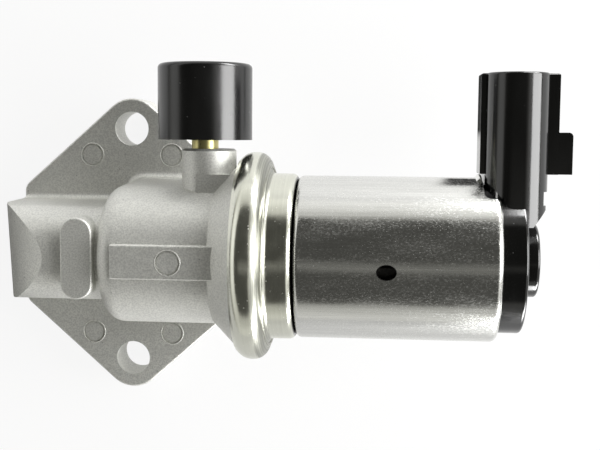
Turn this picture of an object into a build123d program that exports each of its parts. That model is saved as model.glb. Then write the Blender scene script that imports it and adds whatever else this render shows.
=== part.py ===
from build123d import *
import os
from math import cos, radians, sin, sqrt, tan

# Idle air bypass valve, in millimetres. The origin is midway between the two bolt holes
# on the mounting face. +Z points away from that face, +X runs along the valve axis towards
# the solenoid, and +Y points the way the vent cap and the plug socket face.

# Mounting flange
flange_thickness = 8.0
bolt_spacing = 48.0
bolt_hole_diameter = 7.0
bolt_eye_wall = 2.7
flange_length = 45.6
flange_end_width = 24.0
flange_corner_radius = 2.5
flange_edge_radius = 0.5

# Cast body
casting_root_fillet = 1.4
pad_edge_radius = 0.4
neck_radius = 9.1
neck_base_flare = 0.3
nose_height = 13.4
nose_length = 11.5
nose_skew = 3.0
nose_corner_radius = 3.0
nose_low_corner_radius = 0.8
chamber_radius = 13.2
chamber_base_flare = 0.8
chamber_start = -0.5
chamber_length = 20.9
chamber_shoulder_radius = 3.4
neck_pad_width = 6.0
neck_pad_length = 15.2
neck_pad_gap = 0.9
neck_pad_rise = 1.5
chamber_pad_width = 6.3
chamber_pad_rise = 0.9
mark_diameter = 4.6
mark_groove_width = 0.35
mark_groove_depth = 0.3
flange_mark_x = 8.3
flange_mark_y = 18.6
chamber_mark_setback = 6.9

# Air passages in the casting
seat_radius = 5.2
seat_wall = 4.0
seat_setback = 3.1
neck_bore_radius = 6.2
chamber_bore_radius = 10.2
guide_bore_radius = 11.0
guide_step_setback = 10.4
inlet_width = 11.0
inlet_length = 12.0
inlet_end_wall = 3.5
inlet_roof_height = 15.3
inlet_roof_length = 8.2
inlet_rise = 3.5
outlet_width = 14.0
outlet_wall = 1.2
passage_corner_radius = 2.0

# Crimped cup
crimp_radius = 19.75
crimp_clearance = 2.65
crimp_width = 4.35
cup_sheet = 0.9
lip_reach = 1.3
lip_proud = 0.46
lip_bend_radius = 3.0
brim_corner_radius = 2.6
brim_width = 4.0
brim_bead_radius = 0.22
brim_bead_inset = 2.75
collar_length = 5.25
collar_root_radius = 1.0
collar_corner_radius = 1.3
crimp_gap = 0.05
seal_inset = 2.2
seal_section_radius = 0.9
seal_side_gap = 0.15

# Vent
vent_setback = 2.5
boss_radius = 5.2
boss_offset = 0.8
boss_reach = 20.3
boss_edge = 0.4
gusset_reach = 15.6
gusset_setback = 0.9
tube_radius = 2.55
tube_wall = 0.6
tube_depth = 6.0
tube_rise = 11.5
vent_cap_radius = 8.95
vent_cap_height = 14.3
vent_cap_gap = 1.7
vent_cap_wall = 1.3
vent_cap_edge = 0.9
vent_hub_wall = 1.6
vent_slot_width = 2.0
vent_slot_height = 2.0
filter_gap = 0.1
filter_recess = 1.2

# Solenoid can and front pole
can_radius = 15.4
can_length = 37.2
can_sheet = 1.0
can_front_radius = 1.2
can_rim_radius = 1.1
can_hole_setback = 16.8
can_hole_length = 3.6
can_hole_width = 2.8
can_hole_offset = 0.8
notch_gap = 0.4
notch_corner_radius = 1.2
pole_spigot_radius = 8.0
pole_flange_radius = 12.0
pole_flange_thickness = 1.8
pole_bore_radius = 4.2
swage_radius = 9.4
swage_thickness = 0.9

# Coil
tube_liner_wall = 0.6
bobbin_wall = 1.1
bobbin_flange = 1.3
bobbin_gap = 0.4
winding_depth = 4.4
wrap_thickness = 0.5
fit_gap = 0.05
core_flange_thickness = 2.9

# Valve stem
valve_travel = 3.0
seat_gap = 0.1
armature_radius = 6.4
armature_length = 13.0
armature_gap = 1.2
armature_edge = 0.5
core_gap = 0.4
rod_radius = 2.0
rod_nose = 1.2
poppet_radius = 7.2
poppet_thickness = 2.2
poppet_hub_radius = 3.6
poppet_hub_length = 3.0
poppet_edge = 0.6
clip_radius = 3.4
clip_thickness = 0.8
clip_groove_depth = 0.5
bush_wall = 1.15
bush_length = 6.0
bush_flange_width = 0.9
bush_flange_thickness = 0.8
guide_plate_thickness = 1.6
guide_hub_wall = 1.4

# Return spring
spring_wire_radius = 0.35
spring_radius = 3.1
spring_turns = 6
spring_end_gap = 0.05
spring_pocket_radius = 4.0
spring_pocket_depth = 3.5
adjuster_length = 7.5
adjuster_slot_width = 1.0
adjuster_slot_depth = 1.2

# Plug socket and end cap
plug_length = 2.7
plug_edge = 0.6
end_cap_radius = 13.7
end_cap_length = 4.5
end_cap_edge = 0.6
nub_radius = 6.9
nub_length = 2.95
tower_width = 11.3
tower_depth = 18.4
tower_top = 34.6
tower_shift = 2.95
tower_wall = 1.5
tower_edge = 0.4
socket_depth = 14.5
key_bottom = 16.2
key_width = 6.4
inner_key_rise = 0.9
outer_key_rise = 2.0
lock_lug_rise = 2.7
lock_lug_height = 7.7
lock_lug_width = 4.6
lug_corner_radius = 0.8
neck_groove_bottom = 10.7
neck_groove_height = 2.5
neck_groove_depth = 1.0
neck_skirt_setback = 0.45
undercut_reach = 2.9
undercut_height = 3.0
tower_root_width = 4.8
tower_root_sink = 0.6
terminal_thickness = 0.8
terminal_width = 2.8
terminal_spacing = 5.8
terminal_height = 9.5
terminal_leg_bottom = 10.0
terminal_leg_height = 2.0
terminal_tip_radius = 0.9
terminal_slot_gap = 1.0

# Stations along the valve axis
axis_height = crimp_radius + crimp_clearance
neck_end = -flange_length / 2
chamber_end = chamber_start + chamber_length
seat_face = chamber_start + seat_setback
guide_step = seat_face + guide_step_setback
vent_x = chamber_end - vent_setback
lip_corner = chamber_end + crimp_radius - chamber_radius - lip_proud * sqrt(2)
brim_face = lip_corner + crimp_width
rim_face = brim_face - cup_sheet
cup_end = brim_face + collar_length
can_floor = cup_end + can_sheet
can_end = cup_end + can_length
crimp_face = can_end - can_sheet
plug_start = crimp_face - plug_length
core_plate = plug_start - core_flange_thickness
coil_start = can_floor + pole_flange_thickness
winding_start = coil_start + bobbin_flange
winding_end = core_plate - bobbin_flange
end_cap_face = can_end + end_cap_length
tower_x = can_end + tower_shift

# Radii about the valve axis
collar_radius = crimp_radius - brim_width
bead_radius = crimp_radius - brim_bead_inset
rim_radius = crimp_radius - cup_sheet - crimp_gap
seal_radius = rim_radius - seal_inset
can_bore_radius = can_radius - can_sheet
guide_tube_bore = armature_radius + fit_gap
guide_tube_radius = guide_tube_bore + tube_liner_wall
bobbin_bore = guide_tube_radius + fit_gap
bobbin_core_radius = bobbin_bore + bobbin_wall
winding_radius = bobbin_core_radius + winding_depth
bobbin_flange_radius = can_bore_radius - bobbin_gap
bush_bore = rod_radius + fit_gap
bush_radius = bush_bore + bush_wall
plug_radius = can_bore_radius - fit_gap
vent_cap_bore = vent_cap_radius - vent_cap_wall
vent_hub_radius = tube_radius + vent_hub_wall

# Lip of the cup and the step in the flare that it lies in, both at 45 degrees
diagonal = 1 / sqrt(2)
lip_end = lip_corner - lip_reach
lip_seat = (cup_sheet + crimp_gap - lip_proud) * diagonal
lip_step = lip_end + (lip_proud - crimp_gap) * diagonal
lip_step_radius = crimp_radius - lip_reach - (lip_proud + crimp_gap) * diagonal
rim_corner = lip_step + 2 * lip_seat + rim_radius - lip_step_radius
rim_bend_radius = lip_bend_radius - cup_sheet - crimp_gap
rim_edge_radius = brim_corner_radius - cup_sheet

# Half widths of the casting's arches, and where its nose, web and inlet reach
neck_half_base = neck_radius + neck_base_flare
neck_outline_half = neck_half_base + casting_root_fillet
neck_reach = neck_outline_half * tan(radians(nose_skew))
chamber_half_base = chamber_radius + chamber_base_flare
web_width = flange_end_width - 2 * flange_corner_radius
inlet_start = neck_end + inlet_end_wall

# Stations of the moving stem at rest, with the valve shut
poppet_face = seat_face + seat_gap
armature_start = coil_start + armature_gap
armature_end = armature_start + armature_length
core_face = armature_end + valve_travel + core_gap
spring_seat = armature_end - spring_pocket_depth
adjuster_face = plug_start - adjuster_length
clip_face = poppet_face - clip_thickness

# Heights above the valve axis on the vent side
vent_cap_bottom = boss_reach + vent_cap_gap
vent_cap_top = vent_cap_bottom + vent_cap_height
vent_cap_ceiling = vent_cap_top - vent_cap_wall
vent_hub_bottom = vent_cap_bottom + filter_recess
tube_top = boss_reach + tube_rise
tower_foot = nub_radius
socket_floor = tower_top - socket_depth

valve_axis = Axis((0, 0, axis_height), (1, 0, 0))
vent_axis = Axis((vent_x, 0, axis_height), (0, 1, 0))
axial_plane = Plane(origin=(0, 0, axis_height), x_dir=(1, 0, 0), z_dir=(0, -1, 0))
vent_plane = Plane(origin=(vent_x, 0, axis_height), x_dir=(1, 0, 0), z_dir=(0, 0, 1))
skew_cos = cos(radians(nose_skew))
skew_sin = sin(radians(nose_skew))
nose_plane = Plane(origin=(neck_end - neck_end * skew_cos, -neck_end * skew_sin, 0),
                   x_dir=(skew_cos, skew_sin, 0), z_dir=(skew_sin, -skew_cos, 0))


def cross_plane(station):
    """Plane across the valve axis at a station, its local x along +Y and local y along +Z."""
    return Plane(origin=(station, 0, 0), x_dir=(0, 1, 0), z_dir=(1, 0, 0))


def level_plane(height):
    """Plane parallel to the valve axis, at a height along +Y, seen from the vent side."""
    return Plane(origin=(0, height, axis_height), x_dir=(1, 0, 0), z_dir=(0, 1, 0))


def ring_profile(start, end, inner, outer):
    """Half the section of a ring: stations along the valve axis and radii from it."""
    with BuildSketch(axial_plane) as section:
        with Locations(((start + end) / 2, (inner + outer) / 2)):
            Rectangle(end - start, outer - inner)
    return section.sketch


def post_profile(bottom, top, inner, outer):
    """Half the section of a ring: heights along the vent axis and radii from it."""
    with BuildSketch(vent_plane) as section:
        with Locations(((inner + outer) / 2, (bottom + top) / 2)):
            Rectangle(outer - inner, top - bottom)
    return section.sketch


def arch_section(station, radius, half_base):
    """Section of an arch that stands on the mounting face and closes round the valve axis."""
    with BuildSketch(cross_plane(station)) as section:
        with Locations((0, axis_height)):
            Circle(radius)
        with Locations((0, flange_thickness / 2)):
            Rectangle(2 * half_base, flange_thickness)
        make_hull()
    return section.sketch


# Neck of the casting, with its end rounded off to a nose
with BuildPart() as neck:
    neck_length = neck_reach + chamber_start + chamber_shoulder_radius - neck_end
    extrude(arch_section(neck_end - neck_reach, neck_radius, neck_half_base), amount=neck_length)
    with BuildSketch(cross_plane(neck_end - neck_reach)):
        with Locations((0, flange_thickness + casting_root_fillet / 2)):
            Rectangle(2 * neck_outline_half, casting_root_fillet)
        with Locations((0, flange_thickness + casting_root_fillet)):
            with GridLocations(2 * neck_outline_half, 0, 2, 1):
                Circle(casting_root_fillet, mode=Mode.SUBTRACT)
    extrude(amount=neck_length)
    neck_crown = axis_height + neck_radius
    with BuildSketch(nose_plane):
        with BuildLine():
            nose_end = (neck_end, nose_height)
            nose_top = (neck_end + nose_length, neck_crown)
            TangentArc(nose_end, nose_top, tangent=(0, 1))
            Polyline(nose_top, (neck_end - 2 * neck_reach, neck_crown), (neck_end - 2 * neck_reach, 0))
            Polyline((neck_end - 2 * neck_reach, 0), (neck_end, 0), nose_end)
        make_face()
    extrude(amount=2 * neck_half_base, both=True, mode=Mode.SUBTRACT)
    with BuildSketch(Plane.XY):
        with BuildLine():
            FilletPolyline(
                (neck_end - neck_reach, neck_outline_half),
                (neck_end + neck_reach, -neck_outline_half),
                (chamber_end, -neck_outline_half),
                (chamber_end, neck_outline_half),
                radius=(nose_corner_radius, nose_low_corner_radius, 0, 0),
                close=True,
            )
        make_face()
    extrude(amount=neck_crown, mode=Mode.INTERSECT)

# Chamber of the casting, with its rounded shoulder
with BuildPart() as chamber:
    chamber_section = arch_section(chamber_start, chamber_radius, chamber_half_base)
    extrude(chamber_section, amount=chamber_end - chamber_start)
    shoulder = chamber.faces().sort_by(Axis.X)[0].edges().sort_by(Axis.Z)[1:]
    fillet(shoulder, chamber_shoulder_radius)
    with BuildLine(Plane.XY.offset(flange_thickness)):
        FilletPolyline(
            (chamber_end, chamber_half_base),
            (chamber_start, chamber_half_base),
            (chamber_start, -chamber_half_base),
            (chamber_end, -chamber_half_base),
            radius=chamber_shoulder_radius,
        )
    with BuildSketch(cross_plane(chamber_end)):
        with Locations((chamber_half_base, flange_thickness + casting_root_fillet / 2)):
            Rectangle(2 * casting_root_fillet, casting_root_fillet)
        with Locations((chamber_half_base + casting_root_fillet, flange_thickness + casting_root_fillet)):
            Circle(casting_root_fillet, mode=Mode.SUBTRACT)
    sweep()

# Valve body: flange, neck, chamber, crimp rim, vent boss and pads in one casting
with BuildPart() as valve_body:
    with BuildSketch() as flange_outline:
        Rectangle(flange_length, flange_end_width)
        with GridLocations(0, bolt_spacing, 1, 2):
            Circle(bolt_hole_diameter / 2 + bolt_eye_wall)
        make_hull()
        flange_corners = flange_outline.vertices().group_by(Axis.X)
        fillet(flange_corners[0] + flange_corners[-1], flange_corner_radius)
    extrude(amount=flange_thickness)
    fillet(valve_body.faces().sort_by(Axis.Z)[-1].edges(), flange_edge_radius)
    add(chamber.part)
    add(neck.part)

    # Web that closes the gap under the flare
    with BuildSketch():
        with Locations((flange_length / 4, 0)):
            Rectangle(flange_length / 2, web_width)
    extrude(amount=axis_height - chamber_radius / 2)

    # Flare up to the rim that the lip of the cup is rolled over
    with BuildSketch(axial_plane):
        with BuildLine():
            FilletPolyline(
                (chamber_end - chamber_radius, 0),
                (chamber_end, chamber_radius),
                (lip_step, lip_step_radius),
                (lip_step + lip_seat, lip_step_radius - lip_seat),
                (rim_corner, rim_radius),
                (rim_face, rim_radius),
                (rim_face, 0),
                radius=(0, 0, 0, 0, rim_bend_radius, rim_edge_radius, 0),
                close=True,
            )
        make_face()
    revolve(axis=valve_axis)

    # Vent boss, with a flat gusset to the flare
    with BuildSketch(level_plane(0)):
        with Locations((vent_x + boss_offset, 0)):
            Circle(boss_radius)
    extrude(amount=boss_reach)
    boss_rim = valve_body.edges().filter_by_position(Axis.Y, boss_reach, boss_reach)
    chamfer(boss_rim, boss_edge)
    gusset_start = vent_x - gusset_setback
    gusset_end = lip_end - cup_sheet
    with BuildSketch(level_plane(0)):
        with Locations(((gusset_start + gusset_end) / 2, 0)):
            Rectangle(gusset_end - gusset_start, 2 * boss_radius)
    extrude(amount=gusset_reach)

    # Flat pads on the crowns
    pad_plane = Plane.XY.offset(axis_height)
    with BuildSketch(pad_plane):
        with Locations((chamber_start - neck_pad_gap - neck_pad_width / 2, 0)):
            SlotOverall(neck_pad_length, neck_pad_width, rotation=90)
    extrude(amount=neck_radius + neck_pad_rise)
    pad_start = chamber_start + chamber_shoulder_radius
    pad_end = chamber_end + 2 * chamber_pad_rise
    chamber_pad_top = chamber_radius + chamber_pad_rise
    with BuildSketch(pad_plane):
        with Locations(((pad_start + pad_end) / 2, 0)):
            Rectangle(pad_end - pad_start, chamber_pad_width)
    extrude(amount=chamber_pad_top)
    neck_pad_top = axis_height + neck_radius + neck_pad_rise
    neck_pad_edges = valve_body.edges().filter_by_position(Axis.Z, neck_pad_top, neck_pad_top)
    fillet(neck_pad_edges, pad_edge_radius)
    crown_height = axis_height + chamber_pad_top
    crown_edges = valve_body.edges().filter_by_position(Axis.Z, crown_height, crown_height)
    fillet(crown_edges.filter_by(Axis.X), pad_edge_radius)

    # Ring marks left by the ejector pins
    with BuildSketch(pad_plane.offset(chamber_pad_top)):
        with Locations((chamber_end - chamber_mark_setback, 0)):
            Circle(mark_diameter / 2)
            Circle(mark_diameter / 2 - mark_groove_width, mode=Mode.SUBTRACT)
    extrude(amount=-mark_groove_depth, mode=Mode.SUBTRACT)
    with BuildSketch(Plane.XY.offset(flange_thickness)):
        with GridLocations(2 * flange_mark_x, 2 * flange_mark_y, 2, 2):
            Circle(mark_diameter / 2)
            Circle(mark_diameter / 2 - mark_groove_width, mode=Mode.SUBTRACT)
    extrude(amount=-mark_groove_depth, mode=Mode.SUBTRACT)

    # Inlet passage, with a sloped roof under the nose
    with BuildSketch(Plane.XZ):
        with BuildLine():
            Polyline(
                (inlet_start, 0),
                (inlet_start, inlet_roof_height),
                (inlet_start + inlet_roof_length, axis_height + inlet_rise),
                (inlet_start + inlet_length, axis_height + inlet_rise),
                (inlet_start + inlet_length, 0),
                close=True,
            )
        make_face()
    extrude(amount=inlet_width / 2, both=True, mode=Mode.SUBTRACT)
    neck_bore_start = neck_end + nose_length
    seat_back = seat_face - seat_wall
    revolve(ring_profile(neck_bore_start, seat_back, 0, neck_bore_radius), valve_axis, mode=Mode.SUBTRACT)

    # Valve seat, chamber and outlet passage
    revolve(ring_profile(seat_back, seat_face, 0, seat_radius), valve_axis, mode=Mode.SUBTRACT)
    revolve(ring_profile(seat_face, guide_step, 0, chamber_bore_radius), valve_axis, mode=Mode.SUBTRACT)
    revolve(ring_profile(guide_step, rim_face, 0, guide_bore_radius), valve_axis, mode=Mode.SUBTRACT)
    outlet_start = seat_face + outlet_wall
    outlet_end = guide_step - outlet_wall
    with BuildSketch():
        with Locations(((outlet_start + outlet_end) / 2, 0)):
            RectangleRounded(outlet_end - outlet_start, outlet_width, passage_corner_radius)
    extrude(amount=axis_height, mode=Mode.SUBTRACT)

    # Vent drilling, bolt holes and the groove for the seal
    tube_foot = boss_reach - tube_depth
    revolve(post_profile(tube_foot, boss_reach, 0, tube_radius), vent_axis, mode=Mode.SUBTRACT)
    revolve(post_profile(0, tube_foot, 0, tube_radius - tube_wall), vent_axis, mode=Mode.SUBTRACT)
    with Locations(Plane.XY.offset(flange_thickness)):
        with GridLocations(0, bolt_spacing, 1, 2):
            Hole(bolt_hole_diameter / 2, depth=flange_thickness)
    seal_groove = ring_profile(
        rim_face - 2 * seal_section_radius,
        rim_face,
        seal_radius - seal_section_radius - seal_side_gap,
        seal_radius + seal_section_radius + seal_side_gap,
    )
    revolve(seal_groove, valve_axis, mode=Mode.SUBTRACT)

# Seal between casting and cup
with BuildPart() as body_seal:
    with BuildSketch(axial_plane):
        with Locations((rim_face - seal_section_radius, seal_radius)):
            Circle(seal_section_radius)
    revolve(axis=valve_axis)

# Steel cup, its lip rolled over the rim of the casting
with BuildPart() as crimp_cup:
    with BuildSketch(axial_plane):
        with BuildLine():
            FilletPolyline(
                (lip_end, crimp_radius - lip_reach),
                (lip_corner, crimp_radius),
                (brim_face, crimp_radius),
                (brim_face, collar_radius),
                (cup_end, collar_radius),
                (cup_end, pole_spigot_radius),
                radius=(lip_bend_radius, brim_corner_radius, collar_root_radius, collar_corner_radius),
            )
            offset(amount=cup_sheet, side=Side.RIGHT)
        make_face()
        with Locations((brim_face, bead_radius)):
            Circle(brim_bead_radius)
    revolve(axis=valve_axis)

# Drawn steel can, its rim rolled over the end moulding and notched for the plug socket
with BuildPart() as solenoid_can:
    with BuildSketch(axial_plane):
        with BuildLine():
            FilletPolyline(
                (cup_end, pole_spigot_radius),
                (cup_end, can_radius),
                (can_end, can_radius),
                (can_end, end_cap_radius + fit_gap),
                radius=(can_front_radius, can_rim_radius),
            )
            offset(amount=can_sheet, side=Side.RIGHT)
        make_face()
    revolve(axis=valve_axis)
    notch_start = tower_x - tower_width / 2 - notch_gap
    notch_length = 2 * (can_end - notch_start)
    with BuildSketch(level_plane(tower_foot)):
        with Locations((can_end, 0)):
            RectangleRounded(notch_length, tower_depth + 2 * notch_gap, notch_corner_radius)
    extrude(amount=can_radius, mode=Mode.SUBTRACT)
    with BuildSketch(Plane.XY.offset(axis_height)):
        with Locations((cup_end + can_hole_setback, -can_hole_offset)):
            Ellipse(can_hole_length / 2, can_hole_width / 2)
    extrude(amount=can_radius, mode=Mode.SUBTRACT)

# Steel eyelet that holds cup and can together and carries the flux into the can
with BuildPart() as front_pole:
    with BuildSketch(axial_plane):
        with BuildLine():
            Polyline(
                (cup_end - cup_sheet - swage_thickness, pole_bore_radius),
                (cup_end - cup_sheet - swage_thickness, swage_radius),
                (cup_end - cup_sheet, swage_radius),
                (cup_end - cup_sheet, pole_spigot_radius),
                (can_floor, pole_spigot_radius),
                (can_floor, pole_flange_radius),
                (coil_start, pole_flange_radius),
                (coil_start, pole_bore_radius),
                close=True,
            )
        make_face()
    revolve(axis=valve_axis)

# Brass tube that the armature slides in
with BuildPart() as guide_tube:
    revolve(ring_profile(coil_start, core_plate, guide_tube_bore, guide_tube_radius), valve_axis)

# Coil former, winding and wrap
with BuildPart() as bobbin:
    with BuildSketch(axial_plane):
        with BuildLine():
            Polyline(
                (coil_start, bobbin_bore),
                (coil_start, bobbin_flange_radius),
                (winding_start, bobbin_flange_radius),
                (winding_start, bobbin_core_radius),
                (winding_end, bobbin_core_radius),
                (winding_end, bobbin_flange_radius),
                (core_plate, bobbin_flange_radius),
                (core_plate, bobbin_bore),
                close=True,
            )
        make_face()
    revolve(axis=valve_axis)

with BuildPart() as coil_winding:
    revolve(ring_profile(winding_start, winding_end, bobbin_core_radius, winding_radius), valve_axis)

with BuildPart() as coil_wrap:
    wrap_radius = winding_radius + wrap_thickness
    revolve(ring_profile(winding_start, winding_end, winding_radius, wrap_radius), valve_axis)

# Fixed core and end plate in one turning, slotted for the legs of the terminals
with BuildPart() as rear_core:
    with BuildSketch(axial_plane):
        with BuildLine():
            Polyline(
                (core_face, spring_pocket_radius),
                (core_face, armature_radius),
                (core_plate, armature_radius),
                (core_plate, plug_radius),
                (plug_start, plug_radius),
                (plug_start, spring_pocket_radius),
                close=True,
            )
        make_face()
    revolve(axis=valve_axis)
    slot_width = terminal_spacing + terminal_thickness + 2 * terminal_slot_gap
    with BuildSketch(level_plane(terminal_leg_bottom - terminal_slot_gap)):
        with Locations(((core_plate + plug_start) / 2, 0)):
            Rectangle(core_flange_thickness, slot_width)
    extrude(amount=can_radius, mode=Mode.SUBTRACT)

# Screw in the core that sets the spring's preload
with BuildPart() as adjuster_screw:
    adjuster_radius = spring_pocket_radius - fit_gap
    revolve(ring_profile(adjuster_face, plug_start, 0, adjuster_radius), valve_axis)
    with BuildSketch(cross_plane(plug_start)):
        with Locations((0, axis_height)):
            Rectangle(2 * adjuster_radius, adjuster_slot_width)
    extrude(amount=-adjuster_slot_depth, mode=Mode.SUBTRACT)

# Spring that pushes the armature and with it the poppet shut
with BuildPart() as return_spring:
    spring_start = spring_seat + spring_wire_radius + spring_end_gap
    spring_length = adjuster_face - spring_wire_radius - spring_end_gap - spring_start
    with BuildLine() as spring_path:
        Helix(
            pitch=spring_length / spring_turns,
            height=spring_length,
            radius=spring_radius,
            center=(spring_start, 0, axis_height),
            direction=(1, 0, 0),
        )
    with BuildSketch(Plane(origin=spring_path.line @ 0, z_dir=spring_path.line % 0)):
        Circle(spring_wire_radius)
    sweep(is_frenet=True)

# Moving armature, bored for the rod and pocketed for the spring
with BuildPart() as armature:
    with BuildSketch(axial_plane):
        with BuildLine():
            FilletPolyline(
                (armature_start, rod_radius),
                (armature_start, armature_radius),
                (armature_end, armature_radius),
                (armature_end, spring_pocket_radius),
                (spring_seat, spring_pocket_radius),
                (spring_seat, rod_radius),
                radius=(0, armature_edge, armature_edge, 0, 0, 0),
                close=True,
            )
        make_face()
    revolve(axis=valve_axis)

# Valve rod, grooved for the clip
with BuildPart() as valve_rod:
    with BuildSketch(axial_plane):
        with BuildLine():
            Polyline(
                (clip_face - rod_nose, 0),
                (clip_face - rod_nose, rod_radius),
                (clip_face, rod_radius),
                (clip_face, rod_radius - clip_groove_depth),
                (poppet_face, rod_radius - clip_groove_depth),
                (poppet_face, rod_radius),
                (spring_seat, rod_radius),
                (spring_seat, 0),
                close=True,
            )
        make_face()
    revolve(axis=valve_axis)

# Poppet that closes the seat
with BuildPart() as poppet:
    poppet_back = poppet_face + poppet_thickness
    with BuildSketch(axial_plane):
        with BuildLine():
            FilletPolyline(
                (poppet_face, rod_radius),
                (poppet_face, poppet_radius),
                (poppet_back, poppet_radius),
                (poppet_back, poppet_hub_radius),
                (poppet_back + poppet_hub_length, poppet_hub_radius),
                (poppet_back + poppet_hub_length, rod_radius),
                radius=(0, poppet_edge, poppet_edge, poppet_edge, poppet_edge, 0),
                close=True,
            )
        make_face()
    revolve(axis=valve_axis)

# Snap ring that holds the poppet on the rod
with BuildPart() as poppet_clip:
    clip_bore = rod_radius - clip_groove_depth
    revolve(ring_profile(clip_face, poppet_face, clip_bore, clip_radius), valve_axis)
    with BuildSketch(cross_plane(clip_face)):
        with Locations((0, axis_height - clip_radius / 2)):
            Rectangle(2 * clip_bore, clip_radius)
    extrude(amount=clip_thickness, mode=Mode.SUBTRACT)

# Rod bush and the plate that carries it across the chamber
with BuildPart() as front_bush:
    bush_start = guide_step - bush_flange_thickness
    bush_end = bush_start + bush_length
    revolve(ring_profile(guide_step, bush_end, bush_bore, bush_radius), valve_axis)
    revolve(ring_profile(bush_start, guide_step, bush_bore, bush_radius + bush_flange_width), valve_axis)

with BuildPart() as guide_plate:
    guide_hub_start = guide_step + guide_plate_thickness
    revolve(ring_profile(guide_step, guide_hub_start, bush_radius, guide_bore_radius - fit_gap), valve_axis)
    revolve(ring_profile(guide_hub_start, bush_end, bush_radius, bush_radius + guide_hub_wall), valve_axis)

# Brass vent tube, its cap and the filter ring in it
with BuildPart() as vent_tube:
    revolve(post_profile(tube_foot, tube_top, tube_radius - tube_wall, tube_radius), vent_axis)

with BuildPart() as vent_cap:
    with BuildSketch(vent_plane):
        with BuildLine():
            FilletPolyline(
                (vent_cap_bore, vent_cap_bottom),
                (vent_cap_radius, vent_cap_bottom),
                (vent_cap_radius, vent_cap_top),
                (0, vent_cap_top),
                (0, vent_cap_ceiling),
                (tube_radius, vent_cap_ceiling),
                (tube_radius, vent_hub_bottom),
                (vent_hub_radius, vent_hub_bottom),
                (vent_hub_radius, vent_cap_ceiling),
                (vent_cap_bore, vent_cap_ceiling),
                radius=(0, 0, vent_cap_edge, 0, 0, 0, 0, 0, 0, 0),
                close=True,
            )
        make_face()
    revolve(axis=vent_axis)
    with BuildSketch(level_plane(vent_cap_ceiling)):
        with Locations((vent_x, 0)):
            Rectangle(2 * vent_hub_radius, vent_slot_width)
            Rectangle(vent_slot_width, 2 * vent_hub_radius)
    extrude(amount=-vent_slot_height, mode=Mode.SUBTRACT)

with BuildPart() as vent_filter:
    filter_ring = post_profile(
        vent_hub_bottom,
        vent_cap_ceiling - vent_slot_height,
        vent_hub_radius + filter_gap,
        vent_cap_bore - filter_gap,
    )
    revolve(filter_ring, vent_axis)


def terminal_section(offset_z):
    """Outline of a flat terminal: a blade up the plug socket and a leg to the coil."""
    blade_start = tower_x - terminal_width / 2
    blade_end = tower_x + terminal_width / 2
    tip = socket_floor + terminal_height
    terminal_plane = Plane.XY.offset(axis_height + offset_z - terminal_thickness / 2)
    with BuildSketch(terminal_plane) as section:
        with BuildLine():
            FilletPolyline(
                (core_plate, terminal_leg_bottom),
                (blade_end, terminal_leg_bottom),
                (blade_end, tip),
                (blade_start, tip),
                (blade_start, terminal_leg_bottom + terminal_leg_height),
                (core_plate, terminal_leg_bottom + terminal_leg_height),
                radius=(0, 0, terminal_tip_radius, terminal_tip_radius, 0, 0),
                close=True,
            )
        make_face()
    return section.sketch


with BuildPart() as terminal_front:
    extrude(terminal_section(terminal_spacing / 2), amount=terminal_thickness)

with BuildPart() as terminal_rear:
    extrude(terminal_section(-terminal_spacing / 2), amount=terminal_thickness)

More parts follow.
